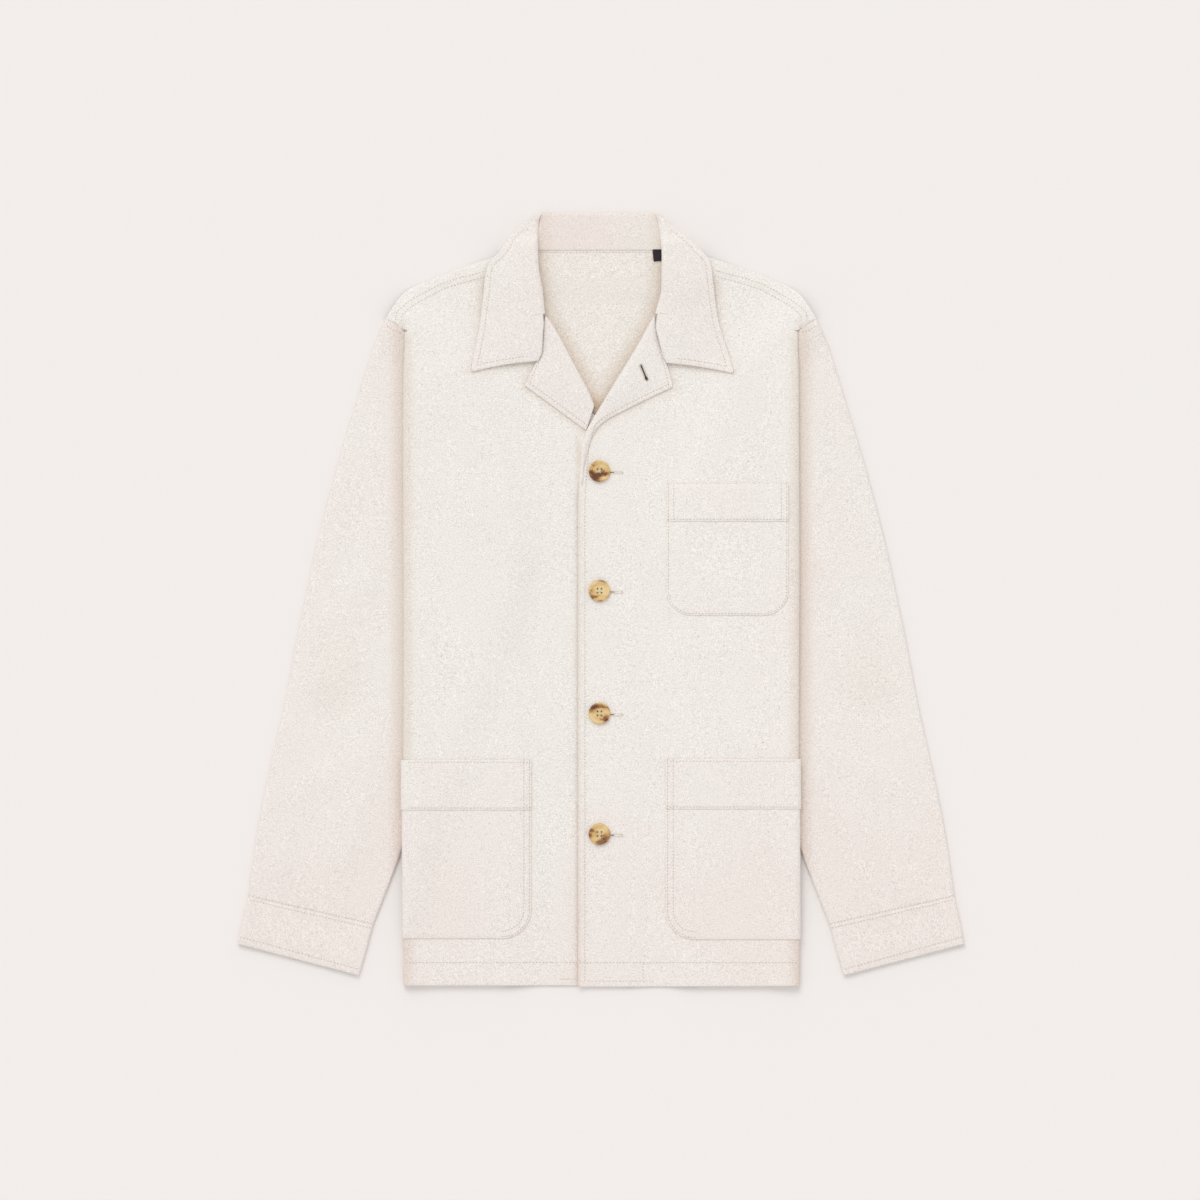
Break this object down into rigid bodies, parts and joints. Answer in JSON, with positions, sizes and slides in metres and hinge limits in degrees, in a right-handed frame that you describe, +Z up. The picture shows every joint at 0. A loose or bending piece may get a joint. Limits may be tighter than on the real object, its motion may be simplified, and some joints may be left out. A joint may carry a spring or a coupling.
{
  "type": "chore jacket",
  "caption": "Unlined cotton work jacket with a notched collar, patch pockets and a buttoned front, laid flat with its sleeves beside the body.",
  "frame": {"origin": "on the table under the middle of the garment's box", "axes": "+Y from the hem to the collar, +X to the viewer's right, +Z up from the table; the front faces up"},
  "size_m": [0.71, 0.7545, 0.0146],
  "materials": {
    "cloth": "matt ecru cotton twill with fine flecks",
    "horn": "mottled horn, softly polished",
    "label": "plain dark woven tape"
  },
  "bodies": {
    "root": {"back": "cloth", "front_right": "cloth", "front_left": "cloth", "sleeve_right": "cloth", "sleeve_left": "cloth", "cuff_right": "cloth", "cuff_left": "cloth", "lapel_right": "cloth", "lapel_left": "cloth", "collar": "cloth", "chest_pocket": "cloth", "chest_pocket_band": "cloth", "pocket_right": "cloth", "pocket_right_band": "cloth", "pocket_left": "cloth", "pocket_left_band": "cloth", "neck_label": "label", "button_1": "horn", "button_2": "horn", "button_3": "horn", "button_4": "horn"}
  },
  "joints": []
}
